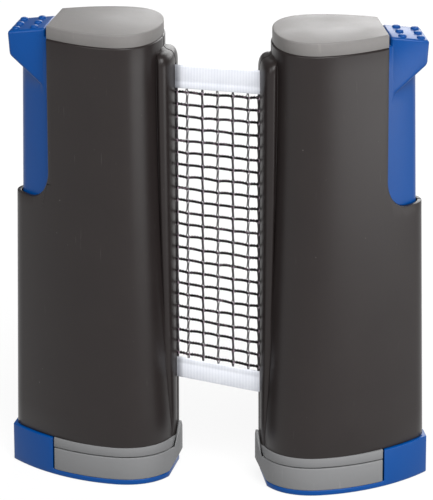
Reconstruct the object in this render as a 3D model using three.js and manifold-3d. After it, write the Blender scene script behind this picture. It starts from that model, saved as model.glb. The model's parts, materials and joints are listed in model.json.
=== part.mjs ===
// A retractable table tennis net: two clamp posts with the net between them.
// Units are millimetres, +Z is up and the floor is z = 0.
// A post is drawn with its net slit at x = 0 and its outer end towards +x.
// The left post is the mirror image of the right one.

import * as THREE from 'three';
import { mergeVertices } from 'three/addons/utils/BufferGeometryUtils.js';
import Module from 'manifold-3d';

const wasm = await Module();
wasm.setup();

// Net
const netHeight = 152.4;
const topTapeHeight = 11;
const bottomTapeHeight = 10;
const tapeThickness = 1.3;
const strandCount = 23;
const strandThickness = 1.2;
const edgeGapHeight = 1.8;
const cordCount = 5;
const cordPitch = 7.2;
const cordThickness = 0.8;
const netThickness = 1;

// Stance of the two posts, as they stand on the floor
const postSpacing = 37.7;
const postStagger = 11.6;
const leftTurn = 11.9;
const rightTurn = 8.4;

// Clearances
const fitGap = 0.3;
const seamGap = 0.3;
const seatGap = 0.1;
const runningGap = 0.25;

// Lower jaw with its pad, and the upper jaw above it
const plateThickness = 2.5;
const padThickness = 10.8;
const jawGap = 0.6;
const bandHeight = 4.4;
const jawSeam = 0.7;
const jawLedge = 2;
const plugHeight = 3;
const lipReach = 2.4;
const lipFall = 3.4;
const lipOverlap = 0.4;
const lipTipReach = 1.6;
const lipTipHalfWidth = 0.9;
const lipFootHalfWidth = 7.6;
const jawTravel = 44;
const tablePadThickness = 1;
const tablePadInset = 5;

// Casing, seen from above at its top: distances from the slit, and depth from the middle plane
const casingReach = 73.4;
const casingHalfDepth = 24.2;
const deepestReach = 25;
const bodyStart = 5.6;

// How much larger the casing is at its foot than at its top
const innerFlare = 2.7;
const outerFlare = 3.3;
const depthFlare = 1.2;

// Walls of the casing, and the rooms inside it
const casingWall = 2;
const netLift = 25.9;
const headRoom = 13.4;
const channelLength = 20.8;
const partitionWall = 1.7;

// Nose of the casing, with the slit that the net comes out of
const noseDrop = 5.5;
const noseRounding = 3;
const slitWidth = 1.8;
const slitLift = 5.3;

// Slot of the slider, with a rounded lower corner
const slotLength = 76.7;
const slotEdge = 1;
const slotCornerWidth = 10.5;
const slotCornerHeight = 14;

// Cap
const capHeight = 6.1;
const capOverhang = 0.4;
const capEdge = 1.3;
const capWall = 2.2;
const capRimHeight = 4;
const capRimWall = 1.6;

// Thumb slider: spine and tab
const spineGap = 0.9;
const sliderGap = 0.6;
const spineWall = 2;
const spineHead = 1.5;
const footThickness = 2.3;
const tabRise = 1.5;
const tabOverhang = 1.1;
const tabHalfDepth = 11;
const tabStep = 2;
const tabSideHeight = 11.8;
const tabFlareHeight = 25.6;
const dotRadius = 1.75;
const dotHeight = 0.9;
const dotRows = 2;
const dotsPerRow = 3;
const dotRowSpacing = 10.4;
const dotSpacing = 5.4;

// Spool
const spoolOffset = 1;
const rollSideRoom = 4.4;
const rollNoseRoom = 0.6;
const axleRadius = 2;
const tubeRadius = 7;
const tubeWall = 1.6;
const flangeWidth = 2.5;
const flangeThickness = 1.6;
const bearingLength = 9;
const spoolSpringLength = 84;
const anchorHeight = 5;
const springWire = 1.1;
const bossWall = 3.5;

// Return spring of the lower jaw
const rodRadius = 2.2;
const springRoom = 1.3;
const shelfThickness = 3;

// Screws
const screwHeadRadius = 2.6;
const screwHeadHeight = 1.7;
const screwRadius = 1.4;
const screwGrip = 8;
const screwBossWall = 1.65;
const screwInset = 8.4;
const screwLift = 16.4;
const screwSetback = 4.4;
const noseScrewSetback = 7;
const jawScrewSetback = 5;
const jawScrewSpacing = 7;

// Levels, from the floor up
const padTop = plateThickness + padThickness;
const upperJawBottom = padTop + jawGap;
const casingBottom = upperJawBottom + bandHeight;
const lipStart = padTop - lipFall;
const slitBottom = casingBottom + slitLift;
const lipTop = slitBottom + lipOverlap;
const netFloorHeight = casingBottom + netLift;
const netTop = netFloorHeight + netHeight;
const casingTop = netTop + headRoom;
const noseTop = casingTop - noseDrop;
const slotBottom = casingTop - slotLength;
const capTop = casingTop + capHeight;
const tabTop = casingTop + tabRise;
const spineTop = tabTop - tabFlareHeight - spineHead;
const shelfBottom = casingBottom + footThickness + 3 * fitGap;
const shelfTop = shelfBottom + shelfThickness;
const rodTop = spineTop - jawTravel - 2 * fitGap;

// Distances from the slit
const partitionReach = casingReach - channelLength;
const channelStart = partitionReach + partitionWall;
const spineReach = channelStart + spineGap;
const slotReach = spineReach + slotEdge;
const capReach = spineReach;
const jawBreak = spineReach + fitGap;
const tabStart = spineReach + tabStep;
const tabReach = casingReach + tabOverhang;
const jawReach = casingReach + outerFlare + jawLedge;
const spineInset = casingWall + sliderGap;
const hollowEnd = casingReach - spineInset - spineWall;
const rodReach = (spineReach + hollowEnd) / 2;
const shelfReach = hollowEnd - spineGap;
const clampSpringRadius = rodRadius + springRoom + springWire;
const spoolReach = deepestReach + spoolOffset;
const rollDepth = casingHalfDepth - casingWall - rollSideRoom;
const rollRadius = Math.min(rollDepth, spoolReach - bodyStart - casingWall - rollNoseRoom);
const flangeRadius = tubeRadius + flangeWidth;
const bossRadius = axleRadius + seatGap + bossWall;
const screwHole = screwRadius + 0.15;
const screwBossRadius = screwHole + screwBossWall;
const screwReaches = [bodyStart + noseScrewSetback, partitionReach - screwSetback];
const jawScrewReaches = [spineReach + jawScrewSetback, spineReach + jawScrewSetback + jawScrewSpacing];
const leadLength = bodyStart + casingWall - 2 * fitGap;

const curveSteps = 10;
const roundSides = 16;
const farAway = 300;

// ---------- solids ----------

function solidOf(geometry) {
  const plain = geometry.clone();
  plain.deleteAttribute('normal');
  plain.deleteAttribute('uv');
  const merged = mergeVertices(plain, 1e-4);
  const mesh = new wasm.Mesh({
    numProp: 3,
    vertProperties: new Float32Array(merged.attributes.position.array),
    triVerts: new Uint32Array(merged.index.array),
  });
  return new wasm.Manifold(mesh);
}

function geometryOf(solid) {
  const mesh = solid.getMesh();
  const geometry = new THREE.BufferGeometry();
  geometry.setAttribute('position', new THREE.BufferAttribute(mesh.vertProperties, 3));
  geometry.setIndex(new THREE.BufferAttribute(mesh.triVerts, 1));
  geometry.computeVertexNormals();
  return geometry;
}

function prism(points, bottom, top) {
  const options = { depth: top - bottom, bevelEnabled: false };
  const geometry = new THREE.ExtrudeGeometry(new THREE.Shape(points), options);
  return solidOf(geometry.translate(0, 0, bottom));
}

// An outline in x and z, drawn through the depth of the post.
function sidePrism(points, front, back) {
  const options = { depth: back - front, bevelEnabled: false };
  const geometry = new THREE.ExtrudeGeometry(new THREE.Shape(points), options);
  return solidOf(geometry.rotateX(Math.PI / 2).translate(0, back, 0));
}

// How far along the post a place of the casing's top plan has moved at a height.
function flareAt(x, z) {
  const drop = (casingTop - z) / (casingTop - casingBottom);
  if (x < bodyStart) {
    return (-innerFlare * drop * x) / bodyStart;
  }
  if (x < deepestReach) {
    return (-innerFlare * drop * (deepestReach - x)) / (deepestReach - bodyStart);
  }
  return (outerFlare * drop * (x - deepestReach)) / (casingReach - deepestReach);
}

function depthAt(y, z) {
  const drop = (casingTop - z) / (casingTop - casingBottom);
  return y * (1 + (drop * depthFlare) / casingHalfDepth);
}

// A prism of the casing's top plan that widens downwards as the casing does.
function flaredPrism(points, bottom, top) {
  const options = { depth: top - bottom, bevelEnabled: false };
  const geometry = new THREE.ExtrudeGeometry(new THREE.Shape(points), options).translate(0, 0, bottom);
  const places = geometry.attributes.position;
  for (let i = 0; i < places.count; i += 1) {
    const [x, y, z] = [places.getX(i), places.getY(i), places.getZ(i)];
    places.setXYZ(i, x + flareAt(x, z), depthAt(y, z), z);
  }
  return solidOf(geometry);
}

function box(x0, x1, y0, y1, z0, z1) {
  const geometry = new THREE.BoxGeometry(x1 - x0, y1 - y0, z1 - z0);
  return solidOf(geometry.translate((x0 + x1) / 2, (y0 + y1) / 2, (z0 + z1) / 2));
}

function post(x, radius, bottom, top, sides = roundSides) {
  const geometry = new THREE.CylinderGeometry(radius, radius, top - bottom, sides);
  return solidOf(geometry.rotateX(Math.PI / 2).translate(x, 0, (bottom + top) / 2));
}

function crossPin(x, z, radius, front, back) {
  const geometry = new THREE.CylinderGeometry(radius, radius, back - front, roundSides);
  return solidOf(geometry.translate(x, (front + back) / 2, z));
}

function sleeve(x, outer, inner, bottom, top) {
  return post(x, outer, bottom, top).subtract(post(x, inner, bottom - 1, top + 1));
}

// ---------- outlines seen from above ----------

// One side of an outline from its inner end to its outer end.
function sideCurve(start, flank, reach) {
  const path = new THREE.Path();
  const arm = start + (deepestReach - start) * 0.37;
  path.moveTo(start, 0);
  path.bezierCurveTo(start, flank * 0.57, arm, flank, deepestReach, flank);
  const tail = reach - deepestReach;
  const endX = deepestReach + tail * 0.92;
  const endY = flank * 0.285;
  const armX = deepestReach + tail * 0.64;
  const armY = flank * 0.7;
  path.bezierCurveTo(deepestReach + tail * 0.31, flank, armX, armY, endX, endY);
  const slope = (endY - armY) / (endX - armX);
  path.quadraticCurveTo(reach, endY + slope * (reach - endX), reach, 0);
  return path.getPoints(curveSteps);
}

function bodySide() {
  return sideCurve(bodyStart, casingHalfDepth, casingReach);
}

// The foot's outline comes right up to the slit.
function footSide(reach) {
  const side = sideCurve(0, casingHalfDepth + depthFlare, reach);
  return [side[0], new THREE.Vector2(0, slitWidth / 2), ...side.slice(1)];
}

// The points of one side moved inwards by a distance, without those that cross the middle.
function insetSide(points, distance) {
  const moved = [];
  for (let i = 0; i < points.length; i += 1) {
    const before = points[Math.max(i - 1, 0)];
    const after = points[Math.min(i + 1, points.length - 1)];
    const along = after.clone().sub(before);
    const endOfCurve = i === 0 || i === points.length - 1;
    const inward = endOfCurve
      ? new THREE.Vector2(i === 0 ? 1 : -1, 0)
      : new THREE.Vector2(along.y, -along.x).normalize();
    const point = points[i].clone().addScaledVector(inward, distance);
    if (point.y > 0.05 && !endOfCurve) {
      moved.push(point);
    }
  }
  const first = points[0].x + distance;
  const last = points[points.length - 1].x - distance;
  const kept = moved.filter((point) => point.x > Math.min(first, last) && point.x < last);
  return [new THREE.Vector2(first, 0), ...kept, new THREE.Vector2(last, 0)];
}

function closedOutline(side) {
  const back = side.slice(1, -1).reverse().map((point) => new THREE.Vector2(point.x, -point.y));
  return [...side, ...back];
}

function bodyOutline(inset) {
  const side = bodySide();
  return closedOutline(inset === 0 ? side : insetSide(side, inset));
}

function footOutline() {
  return closedOutline(footSide(jawReach));
}

// The lobe of the nose bulges out of the body with a groove behind it.
function noseOutline() {
  const shoulder = new THREE.Vector2(bodyStart + 2.1, casingHalfDepth * 0.42);
  const bulge = [
    shoulder,
    new THREE.Vector2(bodyStart + 1, casingHalfDepth * 0.51),
    new THREE.Vector2(bodyStart - 0.8, casingHalfDepth * 0.485),
    new THREE.Vector2(bodyStart * 0.5, casingHalfDepth * 0.37),
    new THREE.Vector2(bodyStart * 0.18, casingHalfDepth * 0.22),
    new THREE.Vector2(0, slitWidth / 2),
  ];
  const curve = new THREE.SplineCurve(bulge);
  const side = [
    new THREE.Vector2(0, 0),
    ...curve.getPoints(curveSteps).reverse(),
    new THREE.Vector2(bodyStart + 4, casingHalfDepth * 0.36),
    new THREE.Vector2(bodyStart + 4, 0),
  ];
  return closedOutline(side);
}

// ---------- the pieces of one post ----------

function noseSolid() {
  const side = new THREE.Path();
  side.moveTo(0, casingBottom);
  side.lineTo(0, noseTop - noseRounding);
  side.absarc(noseRounding, noseTop - noseRounding, noseRounding, Math.PI, Math.PI / 2, true);
  side.lineTo(bodyStart, noseTop);
  side.lineTo(bodyStart + 1, noseTop + 1.5);
  side.lineTo(bodyStart + 4, noseTop + 1.5);
  side.lineTo(bodyStart + 4, casingBottom);
  const profile = sidePrism(side.getPoints(curveSteps / 2), -farAway, farAway);
  return flaredPrism(noseOutline(), casingBottom, casingTop).intersect(profile);
}

function slotCut() {
  const side = new THREE.Path();
  const cornerX = slotReach + slotCornerWidth;
  const cornerZ = slotBottom + slotCornerHeight;
  side.moveTo(slotReach, farAway);
  side.lineTo(slotReach, cornerZ);
  side.absellipse(cornerX, cornerZ, slotCornerWidth, slotCornerHeight, Math.PI, 1.5 * Math.PI, false);
  side.lineTo(farAway, slotBottom);
  side.lineTo(farAway, farAway);
  return sidePrism(side.getPoints(curveSteps), -farAway, farAway);
}

function screwPlaces() {
  const heights = [casingBottom + screwLift, casingTop - screwInset];
  return screwReaches.flatMap((x) => heights.map((z) => ({ x, z })));
}

function casingSolid() {
  const block = flaredPrism(bodyOutline(0), casingBottom, casingTop);
  const outer = block.add(noseSolid());
  const cavity = flaredPrism(bodyOutline(casingWall), casingBottom - 1, casingTop + 1);
  const partition = block
    .intersect(box(partitionReach, channelStart, -farAway, farAway, 0, farAway));
  const shelf = prism(bodyOutline(spineInset + spineWall + fitGap), shelfBottom, shelfTop)
    .intersect(box(partitionReach, shelfReach, -farAway, farAway, 0, farAway));
  let casing = outer.subtract(cavity).add(partition).add(shelf);
  for (const place of screwPlaces()) {
    const boss = crossPin(place.x, place.z, screwBossRadius, -farAway, farAway);
    casing = casing.add(boss.intersect(flaredPrism(bodyOutline(casingWall / 2), casingBottom, casingTop)));
  }
  const slit = box(-1, bodyStart + casingWall + 0.2, -slitWidth / 2, slitWidth / 2, slitBottom, noseTop - 2);
  return casing.subtract(slit).subtract(slotCut());
}

function frontCasing(casing) {
  const half = box(-farAway, farAway, -farAway, -seamGap / 2, -farAway, farAway);
  let shell = casing.intersect(half);
  for (const place of screwPlaces()) {
    shell = shell.subtract(crossPin(place.x, place.z, screwHole, -screwGrip - 1, 1));
  }
  return shell;
}

// Depth of the casing's outer face at a reach and a height.
function rearFace(x, z = casingTop) {
  const side = bodySide().map((point) => new THREE.Vector2(point.x + flareAt(point.x, z), depthAt(point.y, z)));
  const beyond = side.findIndex((point, index) => index > 0 && point.x > x);
  const a = side[beyond - 1];
  const b = side[beyond];
  return a.y + ((b.y - a.y) * (x - a.x)) / (b.x - a.x);
}

function rearCasing(casing) {
  const half = box(-farAway, farAway, seamGap / 2, farAway, -farAway, farAway);
  let shell = casing.intersect(half);
  for (const place of screwPlaces()) {
    const seat = rearFace(place.x, place.z) - casingWall - screwHeadHeight;
    shell = shell.subtract(crossPin(place.x, place.z, screwHeadRadius + fitGap, seat, farAway));
    shell = shell.subtract(crossPin(place.x, place.z, screwHole, -1, farAway));
  }
  return shell;
}

function casingScrew(place) {
  const seat = rearFace(place.x, place.z) - casingWall - screwHeadHeight + seatGap;
  const head = crossPin(place.x, place.z, screwHeadRadius, seat, seat + screwHeadHeight);
  const driveCut = crossPin(place.x, place.z, screwRadius * 0.8, seat + screwHeadHeight / 2, farAway);
  const shank = crossPin(place.x, place.z, screwRadius, -screwGrip, seat + seatGap);
  return head.add(shank).subtract(driveCut);
}

function capSolid() {
  const size = { depth: 2 * capHeight - 2 * capEdge, bevelEnabled: true, bevelSegments: 3 };
  const bevel = { bevelThickness: capEdge, bevelSize: capEdge, bevelOffset: capOverhang - capEdge };
  const kept = bodyOutline(0).filter((point) => point.x < capReach - 2);
  const corner = rearFace(capReach);
  const split = kept.findIndex((point) => point.y < 0);
  const outline = [
    ...kept.slice(0, split),
    new THREE.Vector2(capReach - capOverhang, corner),
    new THREE.Vector2(capReach - capOverhang, -corner),
    ...kept.slice(split),
  ];
  const block = new THREE.ExtrudeGeometry(new THREE.Shape(outline), { ...size, ...bevel });
  const lid = solidOf(block.translate(0, 0, casingTop - capHeight + capEdge))
    .intersect(box(-farAway, farAway, -farAway, farAway, casingTop, farAway));
  const inside = box(-farAway, partitionReach - fitGap, -farAway, farAway, 0, farAway);
  const rimInset = casingWall + fitGap;
  const rim = prism(bodyOutline(rimInset), casingTop - capRimHeight, casingTop + 1).intersect(inside);
  const inner = box(-farAway, partitionReach - fitGap - capRimWall, -farAway, farAway, 0, farAway);
  const pocket = prism(bodyOutline(rimInset + capRimWall), casingTop - capRimHeight - 1, capTop - capWall)
    .intersect(inner);
  const boss = post(spoolReach, bossRadius, casingTop - capRimHeight, capTop - capWall / 2);
  const bore = post(spoolReach, axleRadius + seatGap, 0, capTop - capWall);
  return lid.add(rim).subtract(pocket).add(boss).subtract(bore);
}

function upperJaw() {
  const upTo = box(-farAway, jawBreak - jawSeam, -farAway, farAway, 0, farAway);
  const band = prism(footOutline(), upperJawBottom, casingBottom).intersect(upTo);
  const inside = box(-farAway, partitionReach - fitGap, -farAway, farAway, 0, farAway);
  const plug = flaredPrism(bodyOutline(casingWall + fitGap), casingBottom - 1, casingBottom + plugHeight)
    .intersect(inside);
  const boss = post(spoolReach, bossRadius, casingBottom, casingBottom + plugHeight + 1);
  const bore = post(spoolReach, axleRadius + seatGap, casingBottom, farAway);
  const recess = prism(tablePadOutline(0), 0, upperJawBottom + tablePadThickness);
  return band.add(plug).add(boss).subtract(bore).subtract(recess);
}

function tablePadOutline(clearance) {
  const side = insetSide(bodySide(), tablePadInset + clearance);
  const end = jawBreak - jawSeam - tablePadInset - clearance;
  const kept = side.filter((point) => point.x < end - 1);
  const last = rearFace(end) - tablePadInset - clearance;
  kept.push(new THREE.Vector2(end, last));
  const mirrored = kept.slice(1).reverse().map((point) => new THREE.Vector2(point.x, -point.y));
  return [...kept, ...mirrored];
}

function tablePad() {
  return prism(tablePadOutline(fitGap), upperJawBottom, upperJawBottom + tablePadThickness - seatGap);
}

function sliderSolid() {
  const beyond = box(spineReach, farAway, -farAway, farAway, 0, farAway);
  const core = flaredPrism(bodyOutline(spineInset), casingBottom, tabTop - 1).intersect(beyond);
  const hollow = prism(bodyOutline(spineInset + spineWall), casingBottom + footThickness, spineTop);
  const tab = new THREE.Path();
  tab.moveTo(tabStart, tabTop - tabFlareHeight);
  const sideBottom = tabTop - tabSideHeight;
  tab.quadraticCurveTo(tabStart + 7, sideBottom - 9, tabReach - 0.8, sideBottom);
  tab.lineTo(tabReach, tabTop - 1);
  tab.lineTo(tabReach - 1, tabTop);
  tab.lineTo(tabStart, tabTop);
  const thumb = sidePrism(tab.getPoints(curveSteps), -tabHalfDepth, tabHalfDepth);
  let slider = core.subtract(hollow.intersect(box(0, farAway, -farAway, farAway, 0, farAway))).add(thumb);
  const middle = (tabStart + tabReach) / 2;
  for (let row = 0; row < dotRows; row += 1) {
    for (let dot = 0; dot < dotsPerRow; dot += 1) {
      const x = middle + (row - (dotRows - 1) / 2) * dotRowSpacing;
      const y = (dot - (dotsPerRow - 1) / 2) * dotSpacing;
      const geometry = new THREE.CylinderGeometry(dotRadius * 0.7, dotRadius, dotHeight + 1, 12);
      const lift = tabTop + (dotHeight - 1) / 2;
      slider = slider.add(solidOf(geometry.rotateX(Math.PI / 2).translate(x, y, lift)));
    }
  }
  for (const x of jawScrewReaches) {
    slider = slider.subtract(post(x, screwHole, 0, casingBottom + footThickness + 1));
  }
  return slider;
}

function lowerJaw() {
  const blockTop = casingBottom - fitGap;
  const block = prism(footOutline(), 0, blockTop)
    .intersect(box(jawBreak, farAway, -farAway, farAway, 0, farAway));
  const plate = prism(footOutline(), 0, plateThickness)
    .intersect(box(lipReach * 0.8, farAway, -farAway, farAway, 0, farAway));
  let jaw = block.add(plate);
  for (const x of jawScrewReaches) {
    jaw = jaw.subtract(post(x, screwHole, -1, farAway));
    jaw = jaw.subtract(post(x, screwHeadRadius + fitGap, -1, screwHeadHeight + 1));
  }
  return jaw;
}

function jawScrew(x) {
  const head = post(x, screwHeadRadius, 1, screwHeadHeight + 0.9);
  const shank = post(x, screwRadius, screwHeadHeight, casingBottom + footThickness - 0.4);
  return head.add(shank).subtract(post(x, screwRadius * 0.8, 0, 1 + screwHeadHeight / 2));
}

// The pad's inner end stands proud of the slit, and narrows upwards to a lip over the slit's lower end.
function padOutline() {
  const joined = footSide(jawReach).filter((point) => point.y > lipFootHalfWidth * 1.25);
  const lip = new THREE.SplineCurve([
    new THREE.Vector2(-lipReach, lipFootHalfWidth * 0.2),
    new THREE.Vector2(-lipReach * 0.58, lipFootHalfWidth * 0.56),
    new THREE.Vector2(lipReach * 0.1, lipFootHalfWidth),
    joined[0],
  ]);
  const ahead = lip.getPoints(curveSteps / 2).slice(0, -1);
  return closedOutline([new THREE.Vector2(-lipReach, 0), ...ahead, ...joined]);
}

function jawPad() {
  const side = [
    new THREE.Vector2(lipReach * 0.8, plateThickness),
    new THREE.Vector2(jawBreak - jawSeam, plateThickness),
    new THREE.Vector2(jawBreak - jawSeam, padTop),
    new THREE.Vector2(bodyStart, padTop),
    new THREE.Vector2(bodyStart, lipTop),
    new THREE.Vector2(-lipTipReach, lipTop),
    new THREE.Vector2(-lipReach, padTop),
    new THREE.Vector2(-lipReach, lipStart),
  ];
  const front = [
    new THREE.Vector2(-farAway, 0),
    new THREE.Vector2(farAway, 0),
    new THREE.Vector2(farAway, padTop),
    new THREE.Vector2(lipFootHalfWidth, padTop),
    new THREE.Vector2(lipTipHalfWidth, lipTop),
    new THREE.Vector2(-lipTipHalfWidth, lipTop),
    new THREE.Vector2(-lipFootHalfWidth, padTop),
    new THREE.Vector2(-farAway, padTop),
  ];
  const profile = sidePrism(side, -farAway, farAway);
  const taper = sidePrism(front, -farAway, farAway).rotate([0, 0, 90]);
  const bandRoom = prism(insetSidePair(footOutline(), -fitGap), padTop, farAway);
  const noseRoom = flaredPrism(insetSidePair(noseOutline(), -fitGap), casingBottom - fitGap, casingTop);
  return prism(padOutline(), 0, farAway).intersect(profile).intersect(taper).subtract(bandRoom).subtract(noseRoom);
}

// A closed outline grown by a small distance, point by point.
function insetSidePair(points, distance) {
  return points.map((point, index) => {
    const before = points[(index + points.length - 1) % points.length];
    const after = points[(index + 1) % points.length];
    const along = after.clone().sub(before);
    const inward = new THREE.Vector2(along.y, -along.x).normalize();
    return point.clone().addScaledVector(inward, distance);
  });
}

function netLead() {
  return box(fitGap, leadLength, -netThickness / 4, netThickness / 4, netFloorHeight, netTop);
}

// ---------- spool ----------

const spoolBottom = casingBottom + plugHeight + 1 + fitGap;
const spoolTop = casingTop - capRimHeight - fitGap;
const springBottom = spoolBottom + bearingLength + 2 * fitGap;

function spoolBush(bottom, upright) {
  const flange = upright ? bottom : bottom + bearingLength - flangeThickness;
  return post(spoolReach, flangeRadius, flange, flange + flangeThickness)
    .add(post(spoolReach, tubeRadius - tubeWall - seatGap, bottom, bottom + bearingLength))
    .subtract(post(spoolReach, axleRadius + runningGap, 0, farAway));
}

function spoolTube() {
  const bottom = spoolBottom + flangeThickness + seatGap;
  const top = spoolTop - flangeThickness - seatGap;
  return sleeve(spoolReach, tubeRadius, tubeRadius - tubeWall, bottom, top);
}

function springAnchor() {
  const bottom = springBottom + spoolSpringLength + fitGap;
  return sleeve(spoolReach, tubeRadius - tubeWall - runningGap, axleRadius + seatGap, bottom, bottom + anchorHeight);
}

function spoolSpring() {
  const inner = axleRadius + 2 * runningGap;
  return sleeve(spoolReach, inner + springWire, inner, springBottom, springBottom + spoolSpringLength);
}

function clampSpring() {
  const inner = clampSpringRadius - springWire;
  return sleeve(rodReach, clampSpringRadius, inner, shelfTop + fitGap, spineTop - fitGap);
}

// ---------- materials ----------

const finishes = {
  charcoal: { color: 0x3a3839, roughness: 0.38, metalness: 0 },
  blue: { color: 0x1b4f9b, roughness: 0.32, metalness: 0 },
  lightGrey: { color: 0x8f8e8b, roughness: 0.45, metalness: 0 },
  rubber: { color: 0x1d1c1c, roughness: 0.85, metalness: 0 },
  steel: { color: 0xa9acb0, roughness: 0.3, metalness: 1 },
  white: { color: 0xe4e8ef, roughness: 0.85, metalness: 0 },
  black: { color: 0x16141a, roughness: 0.9, metalness: 0 },
  natural: { color: 0xd8d4c8, roughness: 0.5, metalness: 0 },
};

function piece(name, finish, solid) {
  const mesh = new THREE.Mesh(geometryOf(solid), new THREE.MeshStandardMaterial(finishes[finish]));
  mesh.name = name;
  return mesh;
}

const casingBlank = casingSolid();

function postPieces(name) {
  const pieces = [
    piece(`${name}_front_casing`, 'charcoal', frontCasing(casingBlank)),
    piece(`${name}_rear_casing`, 'charcoal', rearCasing(casingBlank)),
    piece(`${name}_top_cap`, 'lightGrey', capSolid()),
    piece(`${name}_upper_jaw`, 'lightGrey', upperJaw()),
    piece(`${name}_table_pad`, 'rubber', tablePad()),
    piece(`${name}_thumb_slider`, 'blue', sliderSolid()),
    piece(`${name}_lower_jaw`, 'blue', lowerJaw()),
    piece(`${name}_jaw_pad`, 'lightGrey', jawPad()),
    piece(`${name}_net_lead`, 'black', netLead()),
    piece(`${name}_spool_axle`, 'steel', post(spoolReach, axleRadius, casingBottom + seatGap, capTop - capWall - seatGap)),
    piece(`${name}_spool_tube`, 'natural', spoolTube()),
    piece(`${name}_upper_bush`, 'natural', spoolBush(spoolTop - bearingLength, false)),
    piece(`${name}_lower_bush`, 'natural', spoolBush(spoolBottom, true)),
    piece(`${name}_spool_spring`, 'steel', spoolSpring()),
    piece(`${name}_spring_anchor`, 'natural', springAnchor()),
    piece(`${name}_net_roll`, 'black', sleeve(spoolReach, rollRadius, tubeRadius + seatGap, netFloorHeight, netTop)),
    piece(`${name}_guide_rod`, 'steel', post(rodReach, rodRadius, shelfTop + seatGap, rodTop)),
    piece(`${name}_clamp_spring`, 'steel', clampSpring()),
  ];
  screwPlaces().forEach((place, index) => {
    pieces.push(piece(`${name}_casing_screw_${index + 1}`, 'steel', casingScrew(place)));
  });
  jawScrewReaches.forEach((x, index) => {
    pieces.push(piece(`${name}_jaw_screw_${index + 1}`, 'steel', jawScrew(x)));
  });
  return pieces;
}

function mirrored(mesh) {
  const geometry = mesh.geometry.clone();
  geometry.scale(-1, 1, 1);
  const index = geometry.index.array;
  for (let i = 0; i < index.length; i += 3) {
    const second = index[i + 1];
    index[i + 1] = index[i + 2];
    index[i + 2] = second;
  }
  geometry.computeVertexNormals();
  mesh.geometry = geometry;
  return mesh;
}

// ---------- net between the posts ----------

const netLength = Math.hypot(postSpacing, postStagger);

// A flat plate of bars: every cell that lies in a gap both ways is left open.
function latticePlate(xEdges, zEdges, thickness) {
  const positions = [];
  const isSolid = (i, j) => {
    const inside = i >= 0 && j >= 0 && i + 1 < xEdges.length && j + 1 < zEdges.length;
    return inside && (i % 2 === 0 || j % 2 === 0);
  };
  const quad = (a, b, c, d) => positions.push(...a, ...b, ...c, ...a, ...c, ...d);
  const front = -thickness / 2;
  const back = thickness / 2;
  for (let i = 0; i + 1 < xEdges.length; i += 1) {
    for (let j = 0; j + 1 < zEdges.length; j += 1) {
      if (isSolid(i, j)) {
        const [x0, x1, z0, z1] = [xEdges[i], xEdges[i + 1], zEdges[j], zEdges[j + 1]];
        quad([x0, front, z0], [x1, front, z0], [x1, front, z1], [x0, front, z1]);
        quad([x1, back, z0], [x0, back, z0], [x0, back, z1], [x1, back, z1]);
        if (!isSolid(i - 1, j)) quad([x0, back, z0], [x0, front, z0], [x0, front, z1], [x0, back, z1]);
        if (!isSolid(i + 1, j)) quad([x1, front, z0], [x1, back, z0], [x1, back, z1], [x1, front, z1]);
        if (!isSolid(i, j - 1)) quad([x0, back, z0], [x1, back, z0], [x1, front, z0], [x0, front, z0]);
        if (!isSolid(i, j + 1)) quad([x0, front, z1], [x1, front, z1], [x1, back, z1], [x0, back, z1]);
      }
    }
  }
  const geometry = new THREE.BufferGeometry();
  geometry.setAttribute('position', new THREE.Float32BufferAttribute(positions, 3));
  return solidOf(geometry);
}

// A flat net with a gap in each cell between cords and strands.
function netMesh() {
  const bottom = netFloorHeight + bottomTapeHeight + fitGap;
  const top = netTop - topTapeHeight - fitGap;
  const xEdges = [-netLength / 2, -netLength / 2 + cordThickness / 2];
  for (let cord = 0; cord < cordCount; cord += 1) {
    const centre = (cord - (cordCount - 1) / 2) * cordPitch;
    xEdges.push(centre - cordThickness / 2, centre + cordThickness / 2);
  }
  xEdges.push(netLength / 2 - cordThickness / 2, netLength / 2);
  const firstStrand = bottom + edgeGapHeight + strandThickness;
  const strandPitch = (top - bottom - 2 * (edgeGapHeight + strandThickness)) / (strandCount - 1);
  const zEdges = [bottom, bottom + cordThickness / 2];
  for (let strand = 0; strand < strandCount; strand += 1) {
    const centre = firstStrand + strand * strandPitch;
    zEdges.push(centre - strandThickness / 2, centre + strandThickness / 2);
  }
  zEdges.push(top - cordThickness / 2, top);
  return latticePlate(xEdges, zEdges, netThickness);
}

function tape(bottom, top) {
  const half = tapeThickness / 2;
  return box(-netLength / 2, netLength / 2, -half, half, bottom, top);
}

// ---------- assembly ----------

const leftPost = new THREE.Group();
postPieces('left').forEach((mesh) => leftPost.add(mirrored(mesh)));
leftPost.position.set(-postSpacing / 2, postStagger / 2, 0);
leftPost.rotation.z = THREE.MathUtils.degToRad(-leftTurn);

const rightPost = new THREE.Group();
postPieces('right').forEach((mesh) => rightPost.add(mesh));
rightPost.position.set(postSpacing / 2, -postStagger / 2, 0);
rightPost.rotation.z = THREE.MathUtils.degToRad(rightTurn);

const net = new THREE.Group();
net.rotation.z = Math.atan2(-postStagger, postSpacing);
net.add(piece('net_mesh', 'black', netMesh()));
net.add(piece('top_tape', 'white', tape(netTop - topTapeHeight, netTop)));
net.add(piece('bottom_tape', 'white', tape(netFloorHeight, netFloorHeight + bottomTapeHeight)));

// The whole set stands with the middle of its bounding box over the origin.
const group = new THREE.Group();
group.add(leftPost, rightPost, net);
group.updateMatrixWorld(true);
const reachOfSet = new THREE.Box3().setFromObject(group, true);
group.position.set(
  -(reachOfSet.min.x + reachOfSet.max.x) / 2,
  -(reachOfSet.min.y + reachOfSet.max.y) / 2,
  -reachOfSet.min.z,
);
group.updateMatrixWorld(true);

export default group;
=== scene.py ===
import json
import math
import random

import bmesh
import bpy
from mathutils import Matrix, Vector

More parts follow.
